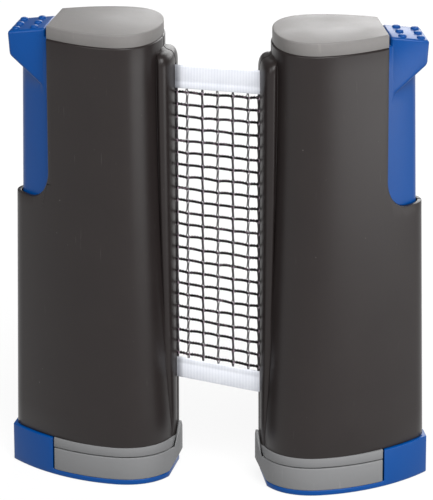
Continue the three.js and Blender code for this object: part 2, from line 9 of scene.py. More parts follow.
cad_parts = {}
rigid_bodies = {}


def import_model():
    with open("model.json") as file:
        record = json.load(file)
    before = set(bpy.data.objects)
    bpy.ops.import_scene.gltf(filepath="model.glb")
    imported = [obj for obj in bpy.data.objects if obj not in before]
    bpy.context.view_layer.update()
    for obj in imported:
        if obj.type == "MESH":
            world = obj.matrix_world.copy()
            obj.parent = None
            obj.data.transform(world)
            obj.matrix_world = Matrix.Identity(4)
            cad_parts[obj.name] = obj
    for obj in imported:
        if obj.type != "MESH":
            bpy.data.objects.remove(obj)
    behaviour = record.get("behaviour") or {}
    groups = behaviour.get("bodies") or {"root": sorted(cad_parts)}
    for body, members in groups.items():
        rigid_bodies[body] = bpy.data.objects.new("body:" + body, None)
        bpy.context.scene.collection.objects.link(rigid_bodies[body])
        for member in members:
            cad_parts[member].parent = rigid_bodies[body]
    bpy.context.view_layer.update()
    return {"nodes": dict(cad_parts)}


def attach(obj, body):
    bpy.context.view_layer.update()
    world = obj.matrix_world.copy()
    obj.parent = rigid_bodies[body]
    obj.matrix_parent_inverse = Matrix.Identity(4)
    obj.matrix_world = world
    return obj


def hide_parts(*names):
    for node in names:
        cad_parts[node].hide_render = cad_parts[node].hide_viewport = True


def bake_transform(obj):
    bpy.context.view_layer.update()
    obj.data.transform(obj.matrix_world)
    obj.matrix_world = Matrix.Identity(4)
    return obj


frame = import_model()
mm = 0.001

# camera: a long lens, a little above the set

view = {
    "lens": 288,
    "sensor": 36,
    "farEnd": 50,   # m
    "place": (7.09, -1726.01, 723.7),   # mm
    "tiltDown": 19.616,
    "turnLeft": 0.27,
    "roll": -0.172,
}


def turned(degrees, axis):
    return Matrix.Rotation(math.radians(degrees), 4, axis)


def shifted(x, y, z):
    return Matrix.Translation((x * mm, y * mm, z * mm))


lensData = bpy.data.cameras.new("camera")
lensData.lens = view["lens"]
lensData.sensor_width = view["sensor"]
lensData.clip_end = view["farEnd"]
cameraObject = bpy.data.objects.new("camera", lensData)
cameraObject.location = [c * mm for c in view["place"]]
aimed = turned(view["turnLeft"], "Z") @ turned(90 - view["tiltDown"], "X") @ turned(view["roll"], "Z")
cameraObject.rotation_euler = aimed.to_euler()
bpy.context.scene.collection.objects.link(cameraObject)
bpy.context.scene.camera = cameraObject
print("camera placed")

# where the two posts stand; a post is drawn with its slit at x = 0 and its outer end towards +x

stand = {
    "left": {"slit": (-19.228, 1.086), "turn": -11.9, "mirror": True},
    "right": {"slit": (18.472, -10.514), "turn": 8.4, "mirror": False},
}

# the net runs from slit to slit
netRun = [b - a for a, b in zip(stand["left"]["slit"], stand["right"]["slit"])]
netTurn = math.atan2(netRun[1], netRun[0])


def postMatrix(side):
    place = stand[side]
    flip = Matrix.Scale(-1, 4, (1, 0, 0)) if place["mirror"] else Matrix.Identity(4)
    return shifted(*place["slit"], 0) @ turned(place["turn"], "Z") @ flip


# hand tools

beyond = 60   # how far the cutting shapes reach past a piece


def pickOnly(*objects):
    for other in bpy.context.view_layer.objects:
        other.select_set(False)
    for chosen in objects:
        chosen.select_set(True)
    bpy.context.view_layer.objects.active = objects[0] if objects else None


def editAll(target):
    pickOnly(target)
    bpy.ops.object.mode_set(mode="EDIT")
    bpy.ops.mesh.select_mode(type="VERT")
    bpy.ops.mesh.select_all(action="SELECT")


def done():
    bpy.ops.object.mode_set(mode="OBJECT")


def faceOutwards():
    # recalculates all normals and leaves edit mode
    bpy.ops.mesh.select_all(action="SELECT")
    bpy.ops.mesh.normals_make_consistent(inside=False)
    done()


def extrudeBy(x, y, z):
    bpy.ops.mesh.extrude_region_move(TRANSFORM_OT_translate={"value": (x * mm, y * mm, z * mm)})


def shrinkAbout(share, x, y):
    bpy.ops.transform.resize(value=(share, share, 1), center_override=(x * mm, y * mm, 0))


def pickFaces(target, wanted):
    # leaves the target in edit mode, with only the wanted faces picked
    pickOnly(target)
    bpy.ops.object.mode_set(mode="EDIT")
    bpy.ops.mesh.select_mode(type="FACE")
    bpy.ops.mesh.select_all(action="DESELECT")
    done()
    for face in target.data.polygons:
        face.select = wanted(face)
    bpy.ops.object.mode_set(mode="EDIT")


def looksUp(face):
    return face.normal.z > 0.9


def looksDown(face):
    return face.normal.z < -0.9


def outlineFace(name, points, level):
    # a filled mesh circle with its points set on an outline
    pickOnly()
    bpy.ops.mesh.primitive_circle_add(vertices=len(points), radius=10 * mm, fill_type="NGON")
    ring = bpy.context.object
    ring.name = name
    for vertex, point in zip(ring.data.vertices, points):
        vertex.co = (point[0] * mm, point[1] * mm, level * mm)
    return ring


def raiseTo(ring, steps, centre=(0, 0)):
    # extrudes the top face through steps of a rise and the scale that it ends at
    editAll(ring)
    scaleNow = 1
    for rise, scale in steps:
        extrudeBy(0, 0, rise)
        if scale != scaleNow:
            shrinkAbout(scale / scaleNow, *centre)
            scaleNow = scale
    faceOutwards()
    return ring


def prism(name, points, bottom, top):
    return raiseTo(outlineFace(name, points, bottom), [(top - bottom, 1)])


def sidePrism(name, points, front=-beyond, back=beyond):
    # an outline in x and z, pulled through the depth
    ring = outlineFace(name, points, 0)
    for vertex in ring.data.vertices:
        vertex.co = (vertex.co.x, front * mm, vertex.co.y)
    editAll(ring)
    extrudeBy(0, back - front, 0)
    faceOutwards()
    return ring


def block(name, low, high):
    pickOnly()
    bpy.ops.mesh.primitive_cube_add(size=1, location=[(a + b) / 2 * mm for a, b in zip(low, high)])
    cube = bpy.context.object
    cube.name = name
    cube.scale = [(b - a) * mm for a, b in zip(low, high)]
    bpy.ops.object.transform_apply(location=True, rotation=False, scale=True)
    return cube


def rod(name, x, y, radius, bottom, top, sides=32, upright=True):
    # stands at x, y, or lies along the depth at x and the height y
    pickOnly()
    middle = (bottom + top) / 2
    place = (x * mm, y * mm, middle * mm) if upright else (x * mm, middle * mm, y * mm)
    turn = (0, 0, 0) if upright else (math.pi / 2, 0, 0)
    bpy.ops.mesh.primitive_cylinder_add(
        vertices=sides, radius=radius * mm, depth=(top - bottom) * mm, location=place, rotation=turn)
    made = bpy.context.object
    made.name = name
    bpy.ops.object.transform_apply(location=True, rotation=True, scale=True)
    return made


def wireRing(name, sides, radius, place, turn=(0, 0, 0)):
    # an open circle, the start of a wire or a thread
    pickOnly()
    bpy.ops.mesh.primitive_circle_add(
        vertices=sides, radius=radius * mm, location=[c * mm for c in place], rotation=turn)
    ring = bpy.context.object
    ring.name = name
    bpy.ops.object.transform_apply(location=True, rotation=True, scale=True)
    return ring


def useModifier(target, kind, **settings):
    pickOnly(target)
    change = target.modifiers.new(kind.lower(), kind)
    for key, value in settings.items():
        setattr(change, key, value)
    bpy.ops.object.modifier_apply(modifier=change.name)
    return target


def carve(target, tool, operation="DIFFERENCE"):
    useModifier(target, "BOOLEAN", object=tool, operation=operation, solver="MANIFOLD")
    bpy.data.objects.remove(tool, do_unlink=True)
    return target


def drill(target, x, radius, low=-beyond, high=beyond):
    return carve(target, rod("hole", x, 0, radius, low, high))


def cutAway(target, point, normal, keepBelow=True):
    editAll(target)
    bpy.ops.mesh.bisect(
        plane_co=[c * mm for c in point], plane_no=normal, use_fill=True,
        clear_outer=keepBelow, clear_inner=not keepBelow,
    )
    done()
    return target


def cutAtReach(target, x, keepInner=True):
    return cutAway(target, (x, 0, 0), (1, 0, 0), keepInner)


def tidyMesh(target, distance=0.02):
    editAll(target)
    bpy.ops.mesh.remove_doubles(threshold=distance * mm)
    bpy.ops.mesh.dissolve_degenerate(threshold=distance * mm)
    done()
    return target


def roundEdges(target, width, segments=2, angle=32):
    return useModifier(
        target, "BEVEL", width=width * mm, segments=segments, limit_method="ANGLE",
        angle_limit=math.radians(angle), use_clamp_overlap=False)


def soften(target, width, segments=2, angle=32):
    # rounds every sharp edge, then shades smooth
    return smooth(roundEdges(target, width, segments, angle))


def bevelTop(target, width, segments=3):
    pickFaces(target, looksUp)
    bpy.ops.mesh.bevel(offset=width * mm, segments=segments)
    done()
    return target


def smooth(target, angle=38):
    pickOnly(target)
    bpy.ops.object.shade_smooth_by_angle(angle=math.radians(angle))
    return target


def copyOf(source, name):
    made = source.copy()
    made.data = source.data.copy()
    made.name = name
    made.data.name = name
    bpy.context.scene.collection.objects.link(made)
    return made


def joined(name, pieces):
    pickOnly(*pieces)
    bpy.ops.object.join()
    whole = bpy.context.object
    whole.name = name
    whole.data.name = name
    return whole


# outlines seen from above, in mm

# the top of the casing; it widens by the flare down to its foot
plan = {
    "reach": 73.4,
    "halfDepth": 24.2,
    "deepest": 25.0,
    "bodyStart": 5.6,
    # handles of the curves, as shares of the run and of the half depth
    "inner": {"rise": 0.57, "run": 0.37},
    "outer": {"start": 0.31, "elbow": (0.64, 0.7), "end": (0.92, 0.285)},
    "foot": {"reach": 78.1, "corner": 4.2, "start": 0.33, "elbow": (0.7, 0.72)},
    "slit": 1.8,
    "steps": 16,
    "rings": 14,
    "levels": (18.3, 210.0),
    "flare": {"inner": 4.9, "bend": 1.77, "outer": 3.3, "depth": 1.2, "nose": 0.45},
}


def curveThrough(a, b, c, d, steps):
    # from a to d with the handles b and c, without its first point
    points = []
    for i in range(1, steps + 1):
        t = i / steps
        s = 1 - t
        weights = (s ** 3, 3 * s * s * t, 3 * s * t * t, t ** 3)
        points.append(tuple(sum(w * p[k] for w, p in zip(weights, (a, b, c, d))) for k in (0, 1)))
    return points


def bentAt(a, corner, b, steps):
    # leaves both its ends towards the corner
    handles = [tuple(p + (c - p) * 2 / 3 for p, c in zip(end, corner)) for end in (a, b)]
    return curveThrough(a, *handles, b, steps)


def innerSide(start, flank):
    # from the slit's end to the deepest place
    inner, deepest = plan["inner"], plan["deepest"]
    arm = start + (deepest - start) * inner["run"]
    handles = (start, flank * inner["rise"]), (arm, flank)
    return [(start, 0)] + curveThrough((start, 0), *handles, (deepest, flank), plan["steps"] + 4)


def bodySide():
    flank, reach, deepest, outer = plan["halfDepth"], plan["reach"], plan["deepest"], plan["outer"]
    tail = reach - deepest
    elbow, end = ((deepest + tail * run, flank * rise) for run, rise in (outer["elbow"], outer["end"]))
    points = innerSide(plan["bodyStart"], flank)
    start = (deepest + tail * outer["start"], flank)
    points += curveThrough((deepest, flank), start, elbow, end, plan["steps"])
    # runs on at the same slope, then turns in at the reach
    slope = (end[1] - elbow[1]) / (end[0] - elbow[0])
    corner = (reach, end[1] + slope * (reach - end[0]))
    return points + bentAt(end, corner, (reach, 0), plan["steps"] // 2)


def footSide():
    # up to the slit at one end, and a flat end with sharp corners at the other
    foot, deepest = plan["foot"], plan["deepest"]
    flank, tail = plan["halfDepth"] + plan["flare"]["depth"], foot["reach"] - deepest
    run, rise = foot["elbow"]
    handles = (deepest + tail * foot["start"], flank), (deepest + tail * run, flank * rise)
    side = innerSide(0, flank)
    side += curveThrough(side[-1], *handles, (foot["reach"], foot["corner"]), plan["steps"])
    return [side[0], (0, plan["slit"] / 2)] + side[1:] + [(foot["reach"], 0)]


def dropAt(z):
    # 0 at the top of the casing and above it, 1 at its foot
    low, high = plan["levels"]
    return max(0, (high - z) / (high - low))


def flared(x, y, z):
    # where a place of the top plan lies at a height
    drop, flare, start, deepest = dropAt(z), plan["flare"], plan["bodyStart"], plan["deepest"]
    inner = flare["inner"] * drop ** flare["bend"]
    if x < start:
        shift = -inner * x / start
    elif x < deepest:
        shift = -inner * (deepest - x) / (deepest - start)
    else:
        shift = flare["outer"] * drop * (x - deepest) / (plan["reach"] - deepest)
    return x + shift, y * (1 + flare["depth"] * drop / plan["halfDepth"])


def narrowed(x, y, z):
    # the nose fades into the body towards the foot
    share = 1 - plan["flare"]["nose"] * dropAt(z) ** plan["flare"]["bend"]
    return x * share, y * share


def insetSide(points, distance):
    first, last = points[0][0] + distance, points[-1][0] - distance
    inside = []
    for i in range(1, len(points) - 1):
        along = Vector(points[i + 1]) - Vector(points[i - 1])
        inward = Vector((along.y, -along.x)).normalized()
        moved = Vector(points[i]) + inward * distance
        # points that crossed the middle or an end drop out
        if moved.y > 0.05 and min(first, last) < moved.x < last:
            inside.append(tuple(moved))
    return [(first, 0)] + inside + [(last, 0)]


def closed(side):
    return side + [(x, -y) for x, y in reversed(side[1:-1])]


def bodyOutline(inset=0):
    side = bodySide()
    return closed(side if inset == 0 else insetSide(side, inset))


def halfDepthAt(x, z=plan["levels"][1]):
    side = [flared(px, py, z) for px, py in bodySide()]
    for (x0, y0), (x1, y1) in zip(side, side[1:]):
        if x0 <= x <= x1 and x1 > x0:
            return y0 + (y1 - y0) * (x - x0) / (x1 - x0)
    return 0


def reshape(target, rule):
    # moves every ring of a straight prism by the rule for its height
    for vertex in target.data.vertices:
        x, y = rule(vertex.co.x / mm, vertex.co.y / mm, vertex.co.z / mm)
        vertex.co.x, vertex.co.y = x * mm, y * mm
    return target


def tallPrism(name, points, bottom, top, rule):
    count = plan["rings"]
    rises = [((top - bottom) / count, 1)] * count
    return reshape(raiseTo(outlineFace(name, points, bottom), rises), rule)


print("outlines ready")

# shader maths

class Wire:
    # one output socket of a node tree; sums and products on it add Math nodes
    def __init__(self, tree, socket=None):
        self.tree = tree
        self.socket = socket

    def node(self, kind, settings=None, values=None, output=0):
        made = self.tree.nodes.new(kind)
        for key, value in (settings or {}).items():
            setattr(made, key, value)
        for key, value in (values or {}).items():
            target = made.inputs[key]
            if isinstance(value, Wire):
                self.tree.links.new(value.socket, target)
            else:
                target.default_value = value
        return Wire(self.tree, made.outputs[output])

    def maths(self, operation, first, second=0.0, clamp=False):
        settings = {"operation": operation, "use_clamp": clamp}
        return self.node("ShaderNodeMath", settings, {0: first, 1: second})

    def __add__(self, other):
        return self.maths("ADD", self, other)

    def __radd__(self, other):
        return self.maths("ADD", other, self)

    def __sub__(self, other):
        return self.maths("SUBTRACT", self, other)

    def __rsub__(self, other):
        return self.maths("SUBTRACT", other, self)

    def __mul__(self, other):
        return self.maths("MULTIPLY", self, other)

    def __rmul__(self, other):
        return self.maths("MULTIPLY", other, self)

    def above(self, edge, softness):
        ends = {"Value": self, "From Min": edge - softness, "From Max": edge + softness}
        return self.node("ShaderNodeMapRange", {"interpolation_type": "SMOOTHSTEP"}, ends)

    def sine(self):
        return self.maths("SINE", self)

    def mix(self, low, high):
        # two colours, by this wire
        return self.node("ShaderNodeMix", {"data_type": "RGBA"}, {0: self, 6: low, 7: high}, output=2)

    def noise(self, scale, detail=3.0, rough=0.55):
        values = {"Vector": self, "Scale": scale, "Detail": detail, "Roughness": rough}
        return self.node("ShaderNodeTexNoise", None, values)

    def mapped(self, scale, turn=0.0):
        values = {"Vector": self, "Scale": scale, "Rotation": (0, 0, turn)}
        return self.node("ShaderNodeMapping", None, values)


def linear(red, green, blue):
    # a colour picked from the photo, 0 to 255
    def one(c):
        c = c / 255
        return c / 12.92 if c <= 0.04045 else ((c + 0.055) / 1.055) ** 2.4
    return (one(red), one(green), one(blue), 1)


def newPaint(name):
    # a material, and the wire that says where on the object a point lies
    material = bpy.data.materials.new(name)
    material.use_nodes = True
    return material, Wire(material.node_tree).node("ShaderNodeTexCoord", output="Object")


def finishPaint(material, colour, gloss, relief, strength, depth, even):
    # what varies goes in as wires, what is the same all over as values
    tree = material.node_tree
    shader = tree.nodes["Principled BSDF"]
    height = {"Strength": strength, "Distance": depth * mm, "Height": relief}
    bump = relief.node("ShaderNodeBump", None, height)
    for socket, wire in {"Base Color": colour, "Roughness": gloss, "Normal": bump}.items():
        tree.links.new(wire.socket, shader.inputs[socket])
    for socket, value in even.items():
        shader.inputs[socket].default_value = value
    return material


def plasticPaint(name, look):
    # moulded plastic: a fine grain, cloudy gloss, a few pale scuffs and specks of dust
    material, where = newPaint(name)
    cloud, patches = where.noise(55, 4), where.noise(420)
    grain = where.noise(look["grain"], 2, 0.6)
    streaks = where.mapped((1, 1, 0.06), 0.4).noise(900, 2)
    scuffs = streaks.above(look["scuffEdge"], 0.02) * cloud.above(0.55, 0.05)
    cells = {"Vector": where, "Scale": look["dotScale"]}
    dust = 1 - where.node("ShaderNodeTexVoronoi", {"feature": "F1"}, cells).above(0.055, 0.02)
    specks = dust * patches.above(0.62, 0.03)
    tint = (cloud * 0.7 + patches * 0.3).mix(linear(*look["dark"]), linear(*look["light"]))
    worn = (scuffs * look["scuffs"] + specks * look["specks"]).mix(tint, linear(*look["wear"]))
    gloss = look["roughness"] + (cloud - 0.5) * look["cloudiness"] + (grain - 0.5) * 0.08 + scuffs * 0.15
    relief = grain * 0.7 + patches * 0.3 - scuffs * 0.6
    even = {"IOR": look["ior"], "Specular IOR Level": look["specular"]}
    return finishPaint(material, worn, gloss, relief, look["bump"], 0.04, even)


paints = {}
plastics = {
    "charcoal": {
        "dark": (33, 28, 28), "light": (40, 35, 34), "wear": (140, 136, 134),
        "roughness": 0.34, "cloudiness": 0.08, "bump": 0.35, "grain": 3200,
        "scuffs": 0.08, "scuffEdge": 0.72, "specks": 0.5, "dotScale": 230,
        "ior": 1.47, "specular": 0.3,
    },
    "blue": {
        "dark": (0, 63, 130), "light": (0, 70, 140), "wear": (96, 136, 190),
        "roughness": 0.33, "cloudiness": 0.08, "bump": 0.25, "grain": 2600,
        "scuffs": 0.1, "scuffEdge": 0.72, "specks": 0.3, "dotScale": 240,
        "ior": 1.47, "specular": 0.24,
    },
    "capGrey": {
        "dark": (114, 112, 111), "light": (130, 127, 125), "wear": (168, 164, 158),
        "roughness": 0.44, "cloudiness": 0.3, "bump": 0.5, "grain": 3400,
        "scuffs": 0.15, "scuffEdge": 0.7, "specks": 0.25, "dotScale": 220,
        "ior": 1.46, "specular": 0.26,
    },
    "padGrey": {
        "dark": (116, 117, 118), "light": (126, 126, 127), "wear": (170, 170, 168),
        "roughness": 0.5, "cloudiness": 0.1, "bump": 0.7, "grain": 2200,
        "scuffs": 0.12, "scuffEdge": 0.7, "specks": 0.2, "dotScale": 220,
        "ior": 1.45, "specular": 0.35,
    },
    "natural": {
        "dark": (206, 202, 190), "light": (222, 218, 206), "wear": (236, 232, 222),
        "roughness": 0.46, "cloudiness": 0.1, "bump": 0.4, "grain": 2400,
        "scuffs": 0.2, "scuffEdge": 0.67, "specks": 0.1, "dotScale": 220,
        "ior": 1.46, "specular": 0.4,
    },
    "rubber": {
        "dark": (26, 25, 25), "light": (34, 33, 32), "wear": (86, 84, 80),
        "roughness": 0.8, "cloudiness": 0.12, "bump": 0.9, "grain": 4200,
        "scuffs": 0.25, "scuffEdge": 0.64, "specks": 0.3, "dotScale": 260,
        "ior": 1.45, "specular": 0.25,
    },
}
for paintName, look in plastics.items():
    paints[paintName] = plasticPaint(paintName, look)

steelLook = {"dark": (150, 153, 157), "light": (196, 198, 200), "roughness": 0.24, "bump": 0.3}


def steelPaint():
    material, where = newPaint("steel")
    brushed, cloud = where.mapped((1, 1, 0.05)).noise(2600), where.noise(160)
    tint = (brushed * 0.6 + cloud * 0.4).mix(linear(*steelLook["dark"]), linear(*steelLook["light"]))
    gloss = steelLook["roughness"] + brushed * 0.16 + cloud * 0.08
    return finishPaint(material, tint, gloss, brushed, steelLook["bump"], 0.03, {"Metallic": 1})


yarnLook = {
    "dark": (3, 1, 3), "light": (52, 42, 50), "fleck": (126, 108, 118), "flecks": 0.75,
    "roughness": 0.7, "bump": 0.8, "specular": 0.1,
}


def yarnPaint():
    # twisted black yarn with a few paler fibres and flecks
    look = yarnLook
    material, where = newPaint("black_cord")
    fibres, cloud = where.mapped((1, 1, 0.35), 0.3).noise(5200), where.noise(380)
    flecks = where.noise(760, 1).above(0.64, 0.03) * look["flecks"]
    crowns = (fibres * 0.75 + cloud * 0.25).above(0.7, 0.08)
    tint = crowns.mix(linear(*look["dark"]), linear(*look["light"]))
    tint = flecks.mix(tint, linear(*look["fleck"]))
    gloss = look["roughness"] + cloud * 0.2
    even = {"Specular IOR Level": look["specular"]}
    return finishPaint(material, tint, gloss, fibres, look["bump"], 0.08, even)


cordLook = {
    # the knot colour is a painted sheen where the loops catch the light
    "thread": (26, 19, 25), "knot": (168, 148, 162), "worn": (120, 104, 116), "wear": 0.3,
    "roughness": 0.5, "bump": 0.6, "sheen": 0.2,
}


def knottedPaint():
    # the cords: a painted sheen makes them paler where they pass round a strand
    look = cordLook
    material, where = newPaint("knotted_cord")
    knots = where.node("ShaderNodeAttribute", {"attribute_name": "knot"}, output="Fac")
    fibres, cloud = where.mapped((1, 1, 0.3)).noise(4800), where.noise(520, 2)
    # painted sheen: the loop crowns at the knots are painted pale as if lit; worn below lays real worn
    # fibres over this painted sheen
    pale = knots.above(0.88, 0.08) * (0.35 + cloud * 0.8)
    tint = pale.mix(linear(*look["thread"]), linear(*look["knot"]))
    worn = (fibres.above(0.62, 0.08) * look["wear"]).mix(tint, linear(*look["worn"]))
    gloss = look["roughness"] + cloud * 0.2
    return finishPaint(material, worn, gloss, fibres, look["bump"], 0.06, {"Sheen Weight": look["sheen"]})


tapeLook = {
    # the third colour is the grey of the painted shade near the left slit
    "dark": (198, 202, 214), "light": (248, 250, 254), "slitShade": (112, 114, 122),
    "ribs": 0.72,             # mm from rib to rib
    "slitShadeEnd": (-16.6, 1.6),   # mm along the net where the painted shade by the left slit stops, and over what length
    "roughness": 0.78, "bump": 0.6, "sheen": 0.1, "specular": 0.25,
}


def tapePaint():
    # white tape: threads along it, ribs across it, and a little painted shade, grey, where it comes out of
    # the left slit
    look = tapeLook
    material, where = newPaint("white_tape")
    along = where.mapped((1, 1, 1), -netTurn)
    reach = along.node("ShaderNodeSeparateXYZ", None, {0: along})
    threads, cloud = where.mapped((0.25, 0.25, 1)).noise(4200, 2, 0.5), where.noise(140, 4)
    ribs = (reach * (2 * math.pi / (look["ribs"] * mm))).sine() * 0.5 + 0.5
    tint = (cloud * 0.4 + ribs * 0.45 + threads * 0.15).mix(linear(*look["dark"]), linear(*look["light"]))
    end, fade = look["slitShadeEnd"]
    # painted shade: the tape turns grey near the left slit, where the nose shades it; worn below carries
    # this painted shade
    slitShade = (1 - reach.above(end * mm, fade * mm)) * (0.4 + cloud * 0.6)
    worn = slitShade.mix(tint, linear(*look["slitShade"]))
    gloss = look["roughness"] + (threads - 0.5) * 0.2
    even = {"Sheen Weight": look["sheen"], "Specular IOR Level": look["specular"]}
    return finishPaint(material, worn, gloss, ribs * 0.7 + threads * 0.3, look["bump"], 0.1, even)


paints["steel"] = steelPaint()
paints["yarn"] = yarnPaint()
paints["knotted"] = knottedPaint()
paints["tape"] = tapePaint()
print("paints mixed")

# pieces of a post; each is made once, as the right post's, and copied to both

masters = {}

screw = {
    "head": 2.6, "height": 1.7, "rim": 0.45, "shank": 1.4, "overlap": 0.2, "edge": 0.08,
    "driveWidth": 0.7, "driveReach": 1.7, "driveDepth": 0.9, "driveOver": 1,
    "seat": 2.9, "hole": 1.55,   # radii of what the head and the shank go into
    "sunk": {"casing": 1.9, "jaw": 1.0},
    "pastSeam": 5.9, "jawLength": 18,
}
axle = {"reach": 26, "hole": 2.1}
plug = {"inset": 2.3, "end": 52.3, "root": 1}   # the rims of cap and upper jaw that go into the casing

shell = {
    "bottom": plan["levels"][0],
    "top": plan["levels"][1],
    "past": 5,   # the hollow runs out of both ends
    "wall": 2.0,
    "seam": 0.3,
    "partition": (52.6, 54.3),
    "slot": {"reach": 56.2, "bottom": 133.3, "corner": (10.5, 14.0), "clear": (100, 230)},
    "slit": {"levels": (23.6, 197.8), "run": (-3, 9)},
    "boss": {"radius": 3.2, "start": 2, "short": 1, "sink": 3.7},
    "screwHeights": (34.7, 201.6),
    "screwReaches": (12.6, 48.2),
    "edge": 0.3,
    "rim": 0.75,
}

nose = {
    "lip": (0, 3.2),
    "lipHandles": ((0.3, 7.8), (1.6, 12.0)),
    "crown": (4.5, 12.0),
    "crownHandles": ((5.6, 12.0), (6.1, 11.3)),
    "shoulder": (6.2, 10.2),
    "root": (9.6, 8.7),
    "domeStart": 198.3,
    # each rise of the dome, and the width that is left
    "dome": [
        (1.5, 0.985), (1.3, 0.955), (1.1, 0.91), (0.85, 0.85), (0.55, 0.77),
        (0.3, 0.68), (0.2, 0.6), (0.4, 0.52), (0.9, 0.46),
    ],
}


def noseSide():
    root, steps = nose["root"], plan["steps"]
    side = [(0, 0), (0, plan["slit"] / 2), nose["lip"]]
    side += curveThrough(nose["lip"], *nose["lipHandles"], nose["crown"], steps)
    side += curveThrough(nose["crown"], *nose["crownHandles"], nose["shoulder"], steps // 2)
    return side + [root, (root[0], 0)]


def buildNose():
    count = plan["rings"]
    rises = [((nose["domeStart"] - shell["bottom"]) / count, 1)] * count + nose["dome"]
    ring = outlineFace("nose", closed(noseSide()), shell["bottom"])
    return reshape(raiseTo(ring, rises, (nose["root"][0], 0)), narrowed)


def slotOutline():
    slot, steps = shell["slot"], plan["steps"]
    x, z, (wide, high), (far, over) = slot["reach"], slot["bottom"], slot["corner"], slot["clear"]
    points = [(x, over), (x, z + high)]
    for i in range(1, steps + 1):
        angle = math.pi / 2 * i / steps
        points.append((x + wide - wide * math.cos(angle), z + high - high * math.sin(angle)))
    return points + [(far, z), (far, over)]


def buildShell():
    bottom, top = shell["bottom"], shell["top"]
    body = tallPrism("shell", bodyOutline(), bottom, top, flared)
    carve(bevelTop(body, shell["rim"], 4), buildNose(), "UNION")
    for edge, keepInner in zip(shell["partition"], (True, False)):
        room = bodyOutline(shell["wall"])
        hollow = tallPrism("hollow", room, bottom - shell["past"], top + shell["past"], flared)
        carve(body, cutAtReach(hollow, edge, keepInner))
    carve(body, sidePrism("slot", slotOutline()))
    half, (low, high), (start, end) = plan["slit"] / 2, shell["slit"]["levels"], shell["slit"]["run"]
    carve(body, block("slit", (start, -half, low), (end, half, high)))
    return tidyMesh(body)


def screwSpots():
    return [(x, z) for x in shell["screwReaches"] for z in shell["screwHeights"]]


def buildShells():
    whole, half, boss = buildShell(), shell["seam"] / 2, shell["boss"]
    front = cutAway(copyOf(whole, "frontShell"), (0, -half, 0), (0, 1, 0))
    rear = cutAway(whole, (0, half, 0), (0, 1, 0), keepBelow=False)
    rear.name = "rearShell"
    for x, z in screwSpots():
        face = halfDepthAt(x, z)
        end = face - boss["short"]
        carve(rear, rod("boss", x, z, boss["radius"], boss["start"], end, upright=False), "UNION")
        carve(rear, rod("seat", x, z, screw["seat"], face - boss["sink"], beyond, upright=False))
        carve(rear, rod("hole", x, z, screw["hole"], -beyond, face, upright=False))
    for casing in (front, rear):
        soften(tidyMesh(casing), shell["edge"])
    return front, rear


masters["front_casing"], masters["rear_casing"] = buildShells()
print("casing halves made")

cap = {
    "bottom": plan["levels"][1], "top": 216.1, "reach": 56.3, "setBack": 0.6, "ridge": 0.6,
    "plugDepth": 4, "axleTop": 213.9, "edge": 0.2,
}


def buildCap():
    bottom = cap["bottom"]
    lid = prism("cap", closed(insetSide(bodySide(), cap["setBack"])), bottom, cap["top"])
    bevelTop(cutAtReach(lid, cap["reach"]), cap["ridge"])
    rim = prism("plug", bodyOutline(plug["inset"]), bottom - cap["plugDepth"], bottom + plug["root"])
    carve(lid, cutAtReach(rim, plug["end"]), "UNION")
    drill(lid, axle["reach"], axle["hole"], high=cap["axleTop"])
    return soften(tidyMesh(lid), cap["edge"], angle=50)


masters["top_cap"] = buildCap()

jaws = {
    "plate": 2.5,
    "plateStart": 1.9,
    "break": 55.5,
    "seam": 0.7,
    "padTop": 13.3,
    "bandBottom": 13.9,
    "bandEdge": 0.22,
    "plugRise": 3,
    "top": 18.0,
    "room": 0.3,   # between the lip and the foot
    "roomTop": 40,
    "wedgeReach": 90,
    "edge": 0.45,
    "lip": {
        "reach": 1.8, "front": 0.8, "start": 9.9, "halfWidth": 7.6,
        "tip": 1.6, "tipHalfWidth": 0.9, "top": 24.0,
        # the front edge curves back to the foot's outline from this half width on
        "handles": ((-1.62, 3.8), (-0.4, 6.08)), "joins": 9.5, "steps": 10,
    },
    "screws": (60.2, 67.2),
    "screwSeat": (-2, 2.7),
    "screwHole": (1, 30),
}
tablePad = {"inset": 5, "gap": 0.3, "thick": 0.9, "recess": 1, "border": 1.2, "groove": 0.3, "edge": 0.12}


def tablePadOutline(gap=0.0):
    inset = tablePad["inset"] + gap
    end = jaws["break"] - jaws["seam"] - inset
    side = [p for p in insetSide(bodySide(), inset) if p[0] < end - 1]
    side.append((end, halfDepthAt(end) - inset))
    return side + [(x, -y) for x, y in reversed(side[1:])]


def buildUpperJaw():
    bottom, top = jaws["bandBottom"], shell["bottom"]
    band = prism("band", closed(footSide()), bottom, top)
    cutAtReach(band, jaws["break"] - jaws["seam"])
    rim = prism("plug", bodyOutline(plug["inset"]), top - plug["root"], top + jaws["plugRise"])
    carve(band, cutAtReach(reshape(rim, flared), plug["end"]), "UNION")
    drill(band, axle["reach"], axle["hole"], low=top)
    carve(band, prism("recess", tablePadOutline(), jaws["plate"], bottom + tablePad["recess"]))
    return soften(tidyMesh(band), jaws["bandEdge"], angle=50)


def buildTablePad():
    bottom = jaws["bandBottom"]
    pad = prism("tablePad", tablePadOutline(tablePad["gap"]), bottom, bottom + tablePad["thick"])
    pickFaces(pad, looksDown)
    bpy.ops.mesh.inset(thickness=tablePad["border"] * mm)
    bpy.ops.mesh.inset(thickness=tablePad["groove"] * mm, depth=-tablePad["groove"] * mm)
    done()
    return soften(pad, tablePad["edge"], angle=50)


def padOutline():
    lip = jaws["lip"]
    side = [p for p in footSide() if p[1] > lip["joins"]]
    front = (-lip["reach"], lip["front"])
    ahead = curveThrough(front, *lip["handles"], side[0], lip["steps"])
    return closed([(-lip["reach"], 0), front] + ahead[:-1] + side)


